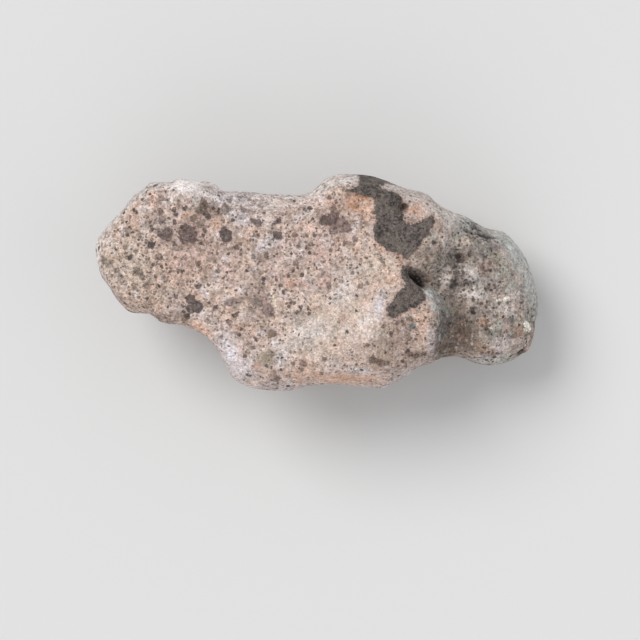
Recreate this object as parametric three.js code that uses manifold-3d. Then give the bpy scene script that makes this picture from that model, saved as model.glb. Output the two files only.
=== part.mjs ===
// A stony meteorite: one long broken stone, about 80 mm from end to end, lying on its flattest side.
//
// It is a single piece of rock, so it is a single solid. Seen from above it is a long uneven slab with a
// broad, nearly flat face. Towards its right end that face drops down a short wall to a lower, rounder lobe.
// Dark fusion crust is left on the face in two patches, one beside a flake scar and one beside a deep pit.
// Below its widest contour it is broken off in dull facets, and the lowest one is the flat it rests on.
//
// Frame: millimetres, +Z up, X along the stone, origin under the middle of it, on the surface it rests on.

import * as THREE from "three";
import { mergeVertices } from "three/addons/utils/BufferGeometryUtils.js";
import Module from "manifold-3d";

// ---- Driving dimensions ----

const FACE_HEIGHT = 27.6; // the broad upper face, at its middle
const RIM_HEIGHT = 20.2; // the stone's widest contour, at its middle
const CUT_DEPTH = 1.5; // how much of the underside the resting flat cuts away
const EDGE_SOFTNESS = 1.2; // how far a broken edge is rounded off
const EASING_ABOVE = { reach: 2.5, inset: 0.3 }; // small bumps of the contour fade out above it
const EASING_BELOW = { reach: 5, inset: 0.8 }; // and below it
const STATIONS = 60; // cross-sections along the stone
const AROUND = 44; // points around each cross-section

// The widest contour seen from above, clockwise from the left end. A smooth closed curve runs through it.
const OUTLINE = [
  [-40.0, 6.2], [-39.6, 7.7], [-38.0, 9.8], [-36.0, 12.1], [-34.6, 13.7], [-33.6, 15.3], [-32.0, 16.5],
  [-29.8, 18.0], [-27.0, 18.0], [-25.6, 18.5], [-24.2, 18.7], [-22.0, 18.2], [-20.0, 18.2], [-18.3, 17.7],
  [-17.0, 16.6], [-14.0, 16.4], [-10.0, 16.1], [-6.0, 15.9], [-3.0, 15.8], [-1.3, 16.4], [0.1, 17.2],
  [1.3, 18.4], [2.6, 19.2], [4.2, 19.5], [7.0, 19.3], [10.0, 18.9], [12.5, 18.1], [16.0, 17.1],
  [18.5, 16.6], [20.1, 16.0], [22.0, 14.2], [24.8, 12.8], [27.0, 12.1], [30.4, 10.1], [32.4, 9.7],
  [34.0, 9.0], [36.2, 6.8], [38.0, 3.8], [39.3, 0.4], [40.0, -2.6], [40.0, -5.2], [39.5, -8.5],
  [39.0, -11.0], [38.3, -12.5], [36.4, -13.5], [33.5, -14.5], [31.2, -14.8], [29.0, -14.5], [26.5, -13.7],
  [24.5, -13.4], [22.0, -13.9], [20.5, -14.7], [18.0, -15.5], [16.0, -17.0], [13.5, -18.4], [11.4, -19.1],
  [9.4, -18.9], [7.0, -18.7], [4.0, -18.3], [1.0, -18.3], [-1.6, -18.5], [-3.5, -19.0], [-5.2, -19.5],
  [-8.0, -19.4], [-11.8, -18.9], [-14.0, -18.0], [-15.3, -17.0], [-16.3, -15.3], [-17.3, -13.4],
  [-18.2, -11.5], [-19.3, -10.2], [-21.5, -8.8], [-24.5, -7.7], [-26.8, -7.4], [-28.3, -6.9],
  [-30.0, -5.6], [-31.2, -5.4], [-33.0, -5.3], [-34.3, -4.8], [-35.5, -3.5], [-37.0, -1.4],
  [-38.7, 1.2], [-39.4, 3.0], [-39.9, 5.0],
];

// The underside's contour, which is smaller and smoother. The sides run in to it from the widest contour.
const FOOTPRINT = [
  [-35.0, 5.0], [-31.5, 11.0], [-24.5, 14.6], [-14.0, 13.6], [-3.0, 13.2], [6.0, 15.2], [15.0, 12.8],
  [24.0, 8.6], [31.5, 3.6], [34.5, -2.5], [33.0, -8.0], [26.0, -10.2], [16.0, -12.4], [6.0, -15.0],
  [-6.0, -15.4], [-13.0, -12.0], [-19.5, -6.2], [-27.5, -3.0], [-33.0, 0.0],
];

// The drop to the right lobe: at each y, where the face ends, how wide the slope below it is, and how deep it
// goes. In front it is a short steep wall. Behind the deep pit it opens out into a long easy slope.
const WALL = [
  { y: -20.0, edge: 19.8, width: 2.6, drop: 5.4 },
  { y: -13.0, edge: 20.3, width: 2.2, drop: 5.8 },
  { y: -9.0, edge: 20.8, width: 2.2, drop: 6.2 },
  { y: -6.0, edge: 21.2, width: 2.5, drop: 6.4 },
  { y: -3.5, edge: 20.8, width: 2.6, drop: 6.2 },
  { y: -1.5, edge: 19.4, width: 2.5, drop: 5.6 },
  { y: 0.0, edge: 17.9, width: 3.0, drop: 5.0 },
  { y: 1.5, edge: 16.7, width: 5.2, drop: 4.4 },
  { y: 3.5, edge: 16.4, width: 9.0, drop: 4.3 },
  { y: 6.5, edge: 17.4, width: 11.5, drop: 4.3 },
  { y: 12.0, edge: 19.0, width: 13.5, drop: 4.4 },
];

// Broad swells (+) and hollows (-) of the upper side: centre, half-widths, turn in degrees, and height.
const TOP_RELIEF = [
  { at: [-24, 16.4], across: [6, 3], turn: 0, height: 1.3 }, // knob behind, left
  { at: [5, 17.2], across: [6, 3], turn: -8, height: 1.1 }, // knob behind, middle
  { at: [-9, 15.6], across: [8, 3.2], turn: 0, height: -1.7 }, // scoop in the edge between them
  { at: [-22, -7], across: [8, 4], turn: -20, height: -1.0 }, // dip towards the front notch
  { at: [-32, -2], across: [4, 3], turn: 0, height: 0.7 }, // corner left of the notch
  { at: [-25, 5], across: [6, 4], turn: 20, height: -0.6 }, // shallow dish on the left
  { at: [-9, -2], across: [4, 6], turn: 0, height: -0.6 }, // shallow dish in the middle
  { at: [0, -5.5], across: [8, 2.6], turn: 38, height: 0.6 }, // long low swell
  { at: [9.5, -6.5], across: [8, 2.8], turn: 48, height: 0.9 }, // second swell, beside the crust
  { at: [16.5, -10.5], across: [3.5, 5], turn: 0, height: -0.7 }, // fall towards the wall's corner
  { at: [5.5, -18.2], across: [7, 1.6], turn: 0, height: -1.5 }, // ledge along the front edge
  { at: [18.2, 12.8], across: [3.4, 2.2], turn: 0, height: -1.2 }, // flake scar beside the crust
  { at: [15.2, 13.4], across: [0.9, 1.1], turn: 0, height: -1.2 }, // its deepest corner
  { at: [18.3, 0.7], across: [2.0, 0.8], turn: -42, height: -2.6 }, // deep pit under the wall's end
  { at: [24.8, -7.5], across: [1.8, 5], turn: 0, height: -0.9 }, // valley at the wall's foot
  { at: [25.2, 4.6], across: [1.6, 1.3], turn: 0, height: -0.9 }, // hollow in the lobe
  { at: [27.0, 7.2], across: [2.2, 1.6], turn: 0, height: 0.6 }, // lump beside it
  { at: [31.5, 0.5], across: [4, 4], turn: 0, height: 1.3 }, // crown of the lobe
  { at: [33.5, -7.5], across: [4, 4], turn: 0, height: 1.1 }, // its front half
  { at: [27.5, -9.5], across: [3, 2.5], turn: 0, height: -0.6 }, // dish beyond the valley
];

// Broken facets below the widest contour. Each is a plane through a point, and fades out over its reach from
// there. It faces out in the direction given in degrees anticlockwise from +X, and leans in below by an angle.
const FACETS = [
  { through: [-38.0, 1.5, 12.0], facing: 196, lean: 26, reach: 10 }, // left end
  { through: [-34.8, 13.0, 13.0], facing: 142, lean: 28, reach: 11 }, // left end, back
  { through: [-24.0, 17.6, 11.0], facing: 96, lean: 24, reach: 10 }, // knob behind, left
  { through: [7.0, 18.2, 9.5], facing: 88, lean: 26, reach: 11 }, // knob behind, middle
  { through: [21.0, 13.8, 8.0], facing: 62, lean: 32, reach: 11 }, // right of it
  { through: [38.4, -4.0, 6.2], facing: 352, lean: 38, reach: 12 }, // lobe, right end
  { through: [31.0, -13.4, 6.4], facing: 280, lean: 36, reach: 10 }, // lobe, front
  { through: [15.5, -16.0, 9.0], facing: 302, lean: 26, reach: 9 }, // front corner, right
  { through: [-3.0, -18.0, 11.0], facing: 271, lean: 20, reach: 14 }, // front
  { through: [-15.0, -14.4, 12.0], facing: 214, lean: 20, reach: 9 }, // front corner, left
  { through: [-26.0, 4.0, 2.4], facing: 186, lean: 66, reach: 30 }, // underside, left
  { through: [24.0, 0.0, 1.2], facing: 4, lean: 74, reach: 30 }, // underside, right
  { through: [2.0, -10.5, 0.4], facing: 278, lean: 60, reach: 26 }, // underside, front
  { through: [-6.0, 10.5, 0.2], facing: 95, lean: 64, reach: 26 }, // underside, back
];

// ---- Small functions ----

const mix = (a, b, share) => a + (b - a) * share;

// 0 below low, 1 above high, and smooth between them.
function smoothstep(low, high, x) {
  const t = Math.min(Math.max((x - low) / (high - low), 0), 1);
  return t * t * (3 - 2 * t);
}

// A Gaussian swell of unit height on a turned ellipse.
function swell(x, y, { at, across, turn }) {
  const angle = THREE.MathUtils.degToRad(turn);
  const dx = x - at[0];
  const dy = y - at[1];
  const along = (dx * Math.cos(angle) + dy * Math.sin(angle)) / across[0];
  const aside = (dy * Math.cos(angle) - dx * Math.sin(angle)) / across[1];
  return Math.exp(-along * along - aside * aside);
}

// A column of a table at x: straight lines between the rows, whose keys rise.
function interpolate(table, key, column, x) {
  const next = table.findIndex((row) => row[key] >= x);
  if (next <= 0) return table[next < 0 ? table.length - 1 : 0][column];
  const [low, high] = [table[next - 1], table[next]];
  return mix(low[column], high[column], (x - low[key]) / (high[key] - low[key]));
}

// ---- A contour as a back edge and a front edge, each with one y for every x ----

function contourEdges(points) {
  const curve = new THREE.CatmullRomCurve3(
    points.map(([x, y]) => new THREE.Vector3(x, y, 0)), true, "catmullrom", 0.5);
  const steps = points.length * 10;
  const ring = Array.from({ length: steps }, (_, i) => curve.getPoint(i / steps));
  const xs = ring.map((p) => p.x);
  const left = xs.indexOf(Math.min(...xs));
  const fromLeft = [...ring.slice(left), ...ring.slice(0, left + 1)];
  const right = fromLeft.reduce((best, p, i) => (p.x > fromLeft[best].x ? i : best), 0);
  return {
    back: fromLeft.slice(0, right + 1),
    front: fromLeft.slice(right).reverse(),
    middle: (fromLeft[0].x + fromLeft[right].x) / 2,
    halfLength: (fromLeft[right].x - fromLeft[0].x) / 2,
  };
}

const rimEdges = contourEdges(OUTLINE);
const footEdges = contourEdges(FOOTPRINT);

// The mean of an edge over a stretch on both sides of x.
function easedEdge(edge, x, reach) {
  const shares = [-1, -0.5, 0, 0.5, 1];
  return shares.reduce((sum, share) => sum + interpolate(edge, "x", "y", x + share * reach), 0) / shares.length;
}

// A place inside a contour. along runs from -1 at its left end to 1 at its right end, and side from -1 on its
// front edge to 1 on its back edge. eased is 0 on the contour itself and 1 where its small bumps are gone.
function placeInside({ back, front, middle, halfLength }, along, side, easing, eased) {
  const x = middle + halfLength * along;
  const room = 1 - along ** 8; // the ends have no stretch on both sides
  const reach = easing.reach * room;
  const inset = easing.inset * room;
  const yBack = mix(interpolate(back, "x", "y", x), easedEdge(back, x, reach) - inset, eased);
  const yFront = mix(interpolate(front, "x", "y", x), easedEdge(front, x, reach) + inset, eased);
  return { x, y: mix(yFront, yBack, (1 + side) / 2) };
}

// ---- Heights ----

// The widest contour's height. It is high at the left and sinks to the lobe, with a twist along the stone.
function rimHeight(x, y) {
  const ends = 6.0 * smoothstep(22, 40, -x) + 4.4 * smoothstep(5, 26, x);
  return RIM_HEIGHT - 0.14 * x - ends + 0.05 * y * Math.sin((x + 15) / 14);
}

// The upper side before its edges are rounded off.
function faceHeight(x, y) {
  const crown = 0.0011 * (x + 6) ** 2 + 0.003 * y * y;
  const edge = interpolate(WALL, "y", "edge", y);
  const width = interpolate(WALL, "y", "width", y);
  const drop = interpolate(WALL, "y", "drop", y);
  const fallen = drop * smoothstep(edge, edge + width, x);
  return TOP_RELIEF.reduce((z, bump) => z + bump.height * swell(x, y, bump), FACE_HEIGHT - crown - fallen);
}

// How far the surface has come from the rim, 0 to 1: square-shouldered when the power is high.
const shoulder = (share, power) => Math.sqrt(Math.max(1 - Math.abs(share) ** power, 0));

// A point moved back onto a facet's plane, if it stands out past it within the facet's reach.
function breakOff(point, { through, facing, lean, reach }) {
  const turn = THREE.MathUtils.degToRad(facing);
  const down = THREE.MathUtils.degToRad(lean);
  const outward = new THREE.Vector3(
    Math.cos(turn) * Math.cos(down), Math.sin(turn) * Math.cos(down), -Math.sin(down));
  const offset = point.clone().sub(new THREE.Vector3(...through));
  const past = offset.dot(outward);
  const share = Math.exp(-((Math.hypot(offset.x, offset.y) / reach) ** 4));
  return point.clone().addScaledVector(outward, -share * (past + Math.hypot(past, EDGE_SOFTNESS)) / 2);
}

// ---- The surface ----

// Points at even spacing along a shoulder curve, from 1 to -1. thickness is its height over its half-width.
function evenShares(count, power, thickness) {
  const fine = Array.from({ length: 2001 }, (_, i) => Math.cos((Math.PI * i) / 2000));
  const travelled = [0];
  for (let i = 1; i < fine.length; i++) {
    const rise = thickness * (shoulder(fine[i], power) - shoulder(fine[i - 1], power));
    travelled.push(travelled[i - 1] + Math.hypot(fine[i] - fine[i - 1], rise));
  }
  const curve = travelled.map((length, i) => ({ length, share: fine[i] }));
  return Array.from({ length: count + 1 }, (_, i) =>
    interpolate(curve, "length", "share", (travelled.at(-1) * i) / count));
}

// A point of the upper side. The right lobe has rounder edges than the face.
function upperPoint(along, side) {
  const lobe = smoothstep(0.4, 0.7, along);
  const reached = shoulder(side, mix(12, 3.8, lobe)) * shoulder(along, mix(14, 4.5, lobe));
  const { x, y } = placeInside(rimEdges, along, side, EASING_ABOVE, smoothstep(0, 0.7, reached));
  return new THREE.Vector3(x, y, mix(rimHeight(x, y), faceHeight(x, y), reached));
}

// A point of the underside, which draws in to the footprint on its way down and is then broken off.
function lowerPoint(along, side) {
  const reached = shoulder(side, 3) * shoulder(along, 5);
  const rim = placeInside(rimEdges, along, side, EASING_BELOW, smoothstep(0, 0.5, reached));
  const foot = placeInside(footEdges, along, side, EASING_BELOW, 0);
  const drawnIn = reached ** 1.5;
  const whole = new THREE.Vector3(
    mix(rim.x, foot.x, drawnIn), mix(rim.y, foot.y, drawnIn),
    mix(rimHeight(rim.x, rim.y), -CUT_DEPTH, reached));
  return whole.lerp(FACETS.reduce(breakOff, whole), smoothstep(0, 0.45, reached));
}

// A closed grid of quads: STATIONS cross-sections between two end points, AROUND points on each.
function stoneGeometry() {
  const stations = evenShares(STATIONS, 6, RIM_HEIGHT / rimEdges.halfLength).reverse().slice(1, -1);
  const sides = evenShares(AROUND / 2, 5, 0.75);
  const ring = [
    ...sides.map((side) => ({ side, pointAt: upperPoint })),
    ...sides.slice(1, -1).reverse().map((side) => ({ side, pointAt: lowerPoint })),
  ];
  const points = [upperPoint(-1, 0)];
  for (const along of stations) {
    for (const { side, pointAt } of ring) points.push(pointAt(along, side));
  }
  points.push(upperPoint(1, 0));

  const faces = [];
  const at = (station, place) => 1 + station * ring.length + (place % ring.length);
  for (let place = 0; place < ring.length; place++) {
    faces.push(0, at(0, place + 1), at(0, place));
    for (let station = 0; station + 1 < stations.length; station++) {
      const [a, b] = [at(station, place), at(station, place + 1)];
      const [c, d] = [at(station + 1, place), at(station + 1, place + 1)];
      faces.push(a, d, c, a, b, d);
    }
    const last = stations.length - 1;
    faces.push(points.length - 1, at(last, place), at(last, place + 1));
  }
  return new THREE.BufferGeometry().setFromPoints(points).setIndex(faces);
}

// ---- Cutting the resting flat ----

const wasm = await Module();
wasm.setup();

function toSolid(geometry) {
  const bare = geometry.clone();
  bare.deleteAttribute("normal");
  bare.deleteAttribute("uv");
  const merged = mergeVertices(bare, 1e-4);
  return new wasm.Manifold(new wasm.Mesh({
    numProp: 3,
    vertProperties: merged.attributes.position.array,
    triVerts: new Uint32Array(merged.index.array),
  }));
}

function toGeometry(solid) {
  const mesh = solid.getMesh();
  const geometry = new THREE.BufferGeometry();
  geometry.setAttribute("position", new THREE.BufferAttribute(mesh.vertProperties, 3));
  geometry.setIndex(new THREE.BufferAttribute(mesh.triVerts, 1));
  geometry.computeVertexNormals();
  return geometry;
}

// Everything below the surface that the stone lies on.
const below = new THREE.BoxGeometry(120, 80, 20).translate(0, 0, -10);
const stone = new THREE.Mesh(
  toGeometry(toSolid(stoneGeometry()).subtract(toSolid(below))),
  new THREE.MeshStandardMaterial({ color: 0xb8a698, roughness: 0.93, metalness: 0 }),
);
stone.name = "meteorite_stone";

const meteorite = new THREE.Group();
meteorite.add(stone);

export default meteorite;
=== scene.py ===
# A stony meteorite lying on its flattest side: one broken stone, pale and speckled inside, with what is left
# of its dark fusion crust in two patches on the broad face.

import bpy
import numpy as np
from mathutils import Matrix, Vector


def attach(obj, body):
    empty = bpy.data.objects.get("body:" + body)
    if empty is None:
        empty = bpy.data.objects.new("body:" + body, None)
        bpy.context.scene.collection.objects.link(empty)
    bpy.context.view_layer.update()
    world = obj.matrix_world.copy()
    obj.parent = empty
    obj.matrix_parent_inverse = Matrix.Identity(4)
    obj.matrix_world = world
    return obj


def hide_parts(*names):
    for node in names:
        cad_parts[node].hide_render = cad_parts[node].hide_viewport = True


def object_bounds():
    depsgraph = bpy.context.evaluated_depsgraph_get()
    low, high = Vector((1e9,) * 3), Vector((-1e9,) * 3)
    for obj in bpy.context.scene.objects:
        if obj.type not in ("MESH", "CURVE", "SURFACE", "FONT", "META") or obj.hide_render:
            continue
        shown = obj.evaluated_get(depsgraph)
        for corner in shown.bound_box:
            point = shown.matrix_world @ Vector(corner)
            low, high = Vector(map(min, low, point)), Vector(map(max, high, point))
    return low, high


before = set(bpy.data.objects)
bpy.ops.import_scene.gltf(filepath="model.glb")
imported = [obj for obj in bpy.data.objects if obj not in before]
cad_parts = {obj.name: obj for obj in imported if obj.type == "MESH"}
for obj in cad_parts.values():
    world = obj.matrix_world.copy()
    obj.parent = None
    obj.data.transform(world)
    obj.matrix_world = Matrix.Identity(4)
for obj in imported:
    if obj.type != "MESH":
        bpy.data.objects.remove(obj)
cad_low, cad_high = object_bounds()


# ---- The stone's form ----
# One piece of ordinary chondrite, broken from a larger stone in flight or on landing. It is a long slab with
# a broad, nearly flat face. Right of a short wall it drops to a lower, rounder lobe. Underneath it draws in
# to dull broken facets, and it lies on the lowest of them.

# The widest contour seen from above, in millimetres, clockwise from the left end.
OUTLINE = [
    (-40.0, 6.2), (-39.6, 7.7), (-38.0, 9.8), (-36.0, 12.1), (-34.6, 13.7), (-33.6, 15.3), (-32.0, 16.5),
    (-29.8, 18.0), (-27.0, 18.0), (-25.6, 18.5), (-24.2, 18.7), (-22.0, 18.2), (-20.0, 18.2), (-18.3, 17.7),
    (-17.0, 16.6), (-14.0, 16.4), (-10.0, 16.1), (-6.0, 15.9), (-3.0, 15.8), (-1.3, 16.4), (0.1, 17.2),
    (1.3, 18.4), (2.6, 19.2), (4.2, 19.5), (7.0, 19.3), (10.0, 18.9), (12.5, 18.1), (16.0, 17.1),
    (18.5, 16.6), (20.1, 16.0), (22.0, 14.2), (24.8, 12.8), (27.0, 12.1), (30.4, 10.1), (32.4, 9.7),
    (34.0, 9.0), (36.2, 6.8), (38.0, 3.8), (39.3, 0.4), (40.0, -2.6), (40.0, -5.2), (39.5, -8.5),
    (39.0, -11.0), (38.3, -12.5), (36.4, -13.5), (33.5, -14.5), (31.2, -14.8), (29.0, -14.5),
    (26.5, -13.7), (24.5, -13.4), (22.0, -13.9), (20.5, -14.7), (18.0, -15.5), (16.0, -17.0),
    (13.5, -18.4), (11.4, -19.1), (9.4, -18.9), (7.0, -18.7), (4.0, -18.3), (1.0, -18.3), (-1.6, -18.5),
    (-3.5, -19.0), (-5.2, -19.5), (-8.0, -19.4), (-11.8, -18.9), (-14.0, -18.0), (-15.3, -17.0),
    (-16.3, -15.3), (-17.3, -13.4), (-18.2, -11.5), (-19.3, -10.2), (-21.5, -8.8), (-24.5, -7.7),
    (-26.8, -7.4), (-28.3, -6.9), (-30.0, -5.6), (-31.2, -5.4), (-33.0, -5.3), (-34.3, -4.8),
    (-35.5, -3.5), (-37.0, -1.4), (-38.7, 1.2), (-39.4, 3.0), (-39.9, 5.0),
]

# The underside's contour, which is smaller and smoother.
FOOTPRINT = [
    (-35.0, 5.0), (-31.5, 11.0), (-24.5, 14.6), (-14.0, 13.6), (-3.0, 13.2), (6.0, 15.2), (15.0, 12.8),
    (24.0, 8.6), (31.5, 3.6), (34.5, -2.5), (33.0, -8.0), (26.0, -10.2), (16.0, -12.4), (6.0, -15.0),
    (-6.0, -15.4), (-13.0, -12.0), (-19.5, -6.2), (-27.5, -3.0), (-33.0, 0.0),
]


def smoothstep(low, high, x):
    """0 below low, 1 above high, and 3t^2 - 2t^3 between them, where t is the share of the way across."""
    t = np.clip((x - low) / (high - low), 0, 1)
    return t * t * (3 - 2 * t)


def mix(a, b, share):
    """a where share is 0, b where it is 1, and the straight line between them."""
    return a + (b - a) * share


def closed_curve(points, steps):
    """A smooth closed curve through points: each stretch is the cubic whose slope at a point is half the way
    from the point before it to the point after it."""
    start = np.array(points, float)
    end = np.roll(start, -1, axis=0)
    start_slope = (end - np.roll(start, 1, axis=0)) / 2
    end_slope = np.roll(start_slope, -1, axis=0)
    t = (np.arange(steps) / steps)[None, :, None]
    curve = (
        start[:, None] * (2 * t**3 - 3 * t**2 + 1) + start_slope[:, None] * (t**3 - 2 * t**2 + t)
        + end[:, None] * (3 * t**2 - 2 * t**3) + end_slope[:, None] * (t**3 - t**2)
    )
    return curve.reshape(-1, start.shape[1])


def contour_edges(points):
    """Cuts a closed contour at its left and right ends into a back and a front edge, each with x rising."""
    ring = closed_curve(points, steps=10)
    ring = np.roll(ring, -ring[:, 0].argmin(), axis=0)
    right = ring[:, 0].argmax()
    back = ring[: right + 1]
    front = np.vstack([ring[right:], ring[:1]])[::-1]
    for edge in (back, front):
        edge[:, 0] = np.maximum.accumulate(edge[:, 0])
    return back, front


def eased(edge, x, reach):
    """The mean of an edge over a stretch of that reach on both sides of x."""
    return np.mean([np.interp(x + share * reach, *edge.T) for share in (-1, -0.5, 0, 0.5, 1)], axis=0)


def place_inside(edges, along, side, reach, inset, smoothness):
    """x runs from the left end to the right as along goes from -1 to 1, and y from the front edge to the
    back as side does. Where smoothness is 1, the edges are eased over reach and moved in by inset."""
    back, front = edges
    x = mix(back[0, 0], back[-1, 0], (1 + along) / 2)
    room = 1 - along**8
    y_back = mix(np.interp(x, *back.T), eased(back, x, reach * room) - inset * room, smoothness)
    y_front = mix(np.interp(x, *front.T), eased(front, x, reach * room) + inset * room, smoothness)
    return x, mix(y_front, y_back, (1 + side) / 2)


def shoulder(share, power):
    """The square root of 1 - |share|^power: 1 in the middle and 0 at the edge, squarer for a high power."""
    return np.sqrt(np.maximum(1 - np.abs(share) ** power, 0))


def swell(x, y, centre, across, turn):
    """exp(-u^2 - v^2), where u and v are the distances from the centre along and across an ellipse turned by
    that many degrees, each over the ellipse's half-width."""
    cos, sin = np.cos(np.radians(turn)), np.sin(np.radians(turn))
    dx, dy = x - centre[0], y - centre[1]
    return np.exp(-(((dx * cos + dy * sin) / across[0]) ** 2) - ((dy * cos - dx * sin) / across[1]) ** 2)


def rim_height(x, y):
    """The widest contour's height: it sinks along the stone and at both ends, with a slow twist."""
    ends = 6.0 * smoothstep(22, 40, -x) + 4.4 * smoothstep(5, 26, x)
    return 20.2 - 0.14 * x - ends + 0.05 * y * np.sin((x + 15) / 14)


# The drop to the lobe. At each y: where the face ends, how wide the slope is, and how deep it goes.
WALL_Y = [-20.0, -13.0, -9.0, -6.0, -3.5, -1.5, 0.0, 1.5, 3.5, 6.5, 12.0]
WALL_EDGE = [19.8, 20.3, 20.8, 21.2, 20.8, 19.4, 17.9, 16.7, 16.4, 17.4, 19.0]
WALL_WIDTH = [2.6, 2.2, 2.2, 2.5, 2.6, 2.5, 3.0, 5.2, 9.0, 11.5, 13.5]
WALL_DROP = [5.4, 5.8, 6.2, 6.4, 6.2, 5.6, 5.0, 4.4, 4.3, 4.3, 4.4]

# Swells and hollows of the upper side: centre, half-widths, turn in degrees, height.
RELIEF = [
    ((-24, 16.4), (6, 3), 0, 1.3),
    ((5, 17.2), (6, 3), -8, 1.1),
    ((-9, 15.6), (8, 3.2), 0, -1.7),
    ((-22, -7), (8, 4), -20, -1.0),
    ((-32, -2), (4, 3), 0, 0.7),
    ((-25, 5), (6, 4), 20, -0.6),
    ((-9, -2), (4, 6), 0, -0.6),
    ((0, -5.5), (8, 2.6), 38, 0.6),
    ((9.5, -6.5), (8, 2.8), 48, 0.9),
    ((16.5, -10.5), (3.5, 5), 0, -0.7),
    ((5.5, -18.2), (7, 1.6), 0, -1.5),
    ((18.2, 12.8), (3.4, 2.2), 0, -1.2),
    ((15.2, 13.4), (0.9, 1.1), 0, -1.2),
    ((18.3, 0.7), (2.0, 0.8), -42, -2.6),
    ((24.8, -7.5), (1.8, 5), 0, -0.9),
    ((25.2, 4.6), (1.6, 1.3), 0, -0.9),
    ((27.0, 7.2), (2.2, 1.6), 0, 0.6),
    ((31.5, 0.5), (4, 4), 0, 1.3),
    ((33.5, -7.5), (4, 4), 0, 1.1),
    ((27.5, -9.5), (3, 2.5), 0, -0.6),
]


def face_height(x, y):
    """The crowned face, less the drop to the lobe, plus the swells and hollows."""
    crown = 0.0011 * (x + 6) ** 2 + 0.003 * y**2
    edge, width, drop = (np.interp(y, WALL_Y, row) for row in (WALL_EDGE, WALL_WIDTH, WALL_DROP))
    height = 27.6 - crown - drop * smoothstep(edge, edge + width, x)
    return height + sum(rise * swell(x, y, centre, across, turn) for centre, across, turn, rise in RELIEF)


# Broken facets below the widest contour: a point on each, the direction it faces in degrees from +X, how far
# it leans in below, and how far it reaches.
FACETS = [
    ((-38.0, 1.5, 12.0), 196, 26, 10),
    ((-34.8, 13.0, 13.0), 142, 28, 11),
    ((-24.0, 17.6, 11.0), 96, 24, 10),
    ((7.0, 18.2, 9.5), 88, 26, 11),
    ((21.0, 13.8, 8.0), 62, 32, 11),
    ((38.4, -4.0, 6.2), 352, 38, 12),
    ((31.0, -13.4, 6.4), 280, 36, 10),
    ((15.5, -16.0, 9.0), 302, 26, 9),
    ((-3.0, -18.0, 11.0), 271, 20, 14),
    ((-15.0, -14.4, 12.0), 214, 20, 9),
    ((-26.0, 4.0, 2.4), 186, 66, 30),
    ((24.0, 0.0, 1.2), 4, 74, 30),
    ((2.0, -10.5, 0.4), 278, 60, 26),
    ((-6.0, 10.5, 0.2), 95, 64, 26),
]
EDGE_SOFTNESS = 1.2


def break_off(points, through, facing, lean, reach):
    """Moves points that stand out past a plane back onto it, less and less towards the end of its reach."""
    turn, down = np.radians(facing), np.radians(lean)
    outward = np.array([np.cos(turn) * np.cos(down), np.sin(turn) * np.cos(down), -np.sin(down)])
    offset = points - through
    past = offset @ outward
    share = np.exp(-((np.hypot(offset[..., 0], offset[..., 1]) / reach) ** 4))
    return points - (share * (past + np.hypot(past, EDGE_SOFTNESS)) / 2)[..., None] * outward


RIM_EDGES = contour_edges(OUTLINE)
FOOT_EDGES = contour_edges(FOOTPRINT)


def upper_side(along, side):
    """The height goes from the rim to the face by the product of the two shoulders."""
    lobe = smoothstep(0.4, 0.7, along)
    reached = shoulder(side, mix(12, 3.8, lobe)) * shoulder(along, mix(14, 4.5, lobe))
    x, y = place_inside(RIM_EDGES, along, side, 2.5, 0.3, smoothstep(0, 0.7, reached))
    x = np.broadcast_to(x, y.shape)
    return np.stack([x, y, mix(rim_height(x, y), face_height(x, y), reached)], axis=-1)


# The height that the underside would sink to. What is below 0 is worn off to the resting flat.
UNDERSIDE = -1.5


def lower_side(along, side):
    """The height goes from the rim to the underside by the product of the two shoulders, while the contour
    draws in to the footprint, and then the facets are broken off."""
    reached = shoulder(side, 3) * shoulder(along, 5)
    rim_x, rim_y = place_inside(RIM_EDGES, along, side, 5, 0.8, smoothstep(0, 0.5, reached))
    foot_x, foot_y = place_inside(FOOT_EDGES, along, side, 5, 0.8, 0)
    drawn_in = reached**1.5
    height = mix(rim_height(rim_x, rim_y), UNDERSIDE, reached)
    whole = np.stack([mix(rim_x, foot_x, drawn_in), mix(rim_y, foot_y, drawn_in), height], axis=-1)
    broken = whole
    for facet in FACETS:
        broken = break_off(broken, *facet)
    return mix(whole, broken, smoothstep(0, 0.45, reached)[..., None])


def even_shares(count, power, thickness):
    """count + 1 values from 1 to -1, evenly spaced along a shoulder curve that is that thick."""
    samples = 4001
    share = np.cos(np.linspace(0, np.pi, samples))
    steps = np.hypot(np.diff(share), thickness * np.diff(shoulder(share, power)))
    travelled = np.concatenate([[0], np.cumsum(steps)])
    return np.interp(np.linspace(0, travelled[-1], count + 1), travelled, share)


# The mesh is a row of closed rings from the left end to the right, with a fan of triangles at each tip.
STATIONS = 330
ACROSS_TOP = 190
ACROSS_BELOW = 108

along = even_shares(STATIONS + 1, power=6, thickness=0.25)[::-1][1:-1, None]
top = upper_side(along, even_shares(ACROSS_TOP, power=8, thickness=0.4)[None, :])
below = lower_side(along, even_shares(ACROSS_BELOW, power=3, thickness=1.1)[::-1][None, 1:-1])
rings = np.concatenate([top, below], axis=1)
end = np.array([[-1.0], [1.0]])
tips = upper_side(end, np.zeros((1, 1))).reshape(2, 3)
surface = np.concatenate([rings.reshape(-1, 3), tips])

ring_size = rings.shape[1]
place = np.arange(ring_size)
after = (place + 1) % ring_size
this_ring = (np.arange(STATIONS - 1) * ring_size)[:, None]
next_ring = this_ring + ring_size
quads = np.stack([this_ring + place, this_ring + after, next_ring + after, next_ring + place], axis=-1)
quads = quads.reshape(-1, 4)
last = (STATIONS - 1) * ring_size
left_fan = np.stack([np.full(ring_size, len(surface) - 2), after, place], axis=-1)
right_fan = np.stack([np.full(ring_size, len(surface) - 1), last + place, last + after], axis=-1)


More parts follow.
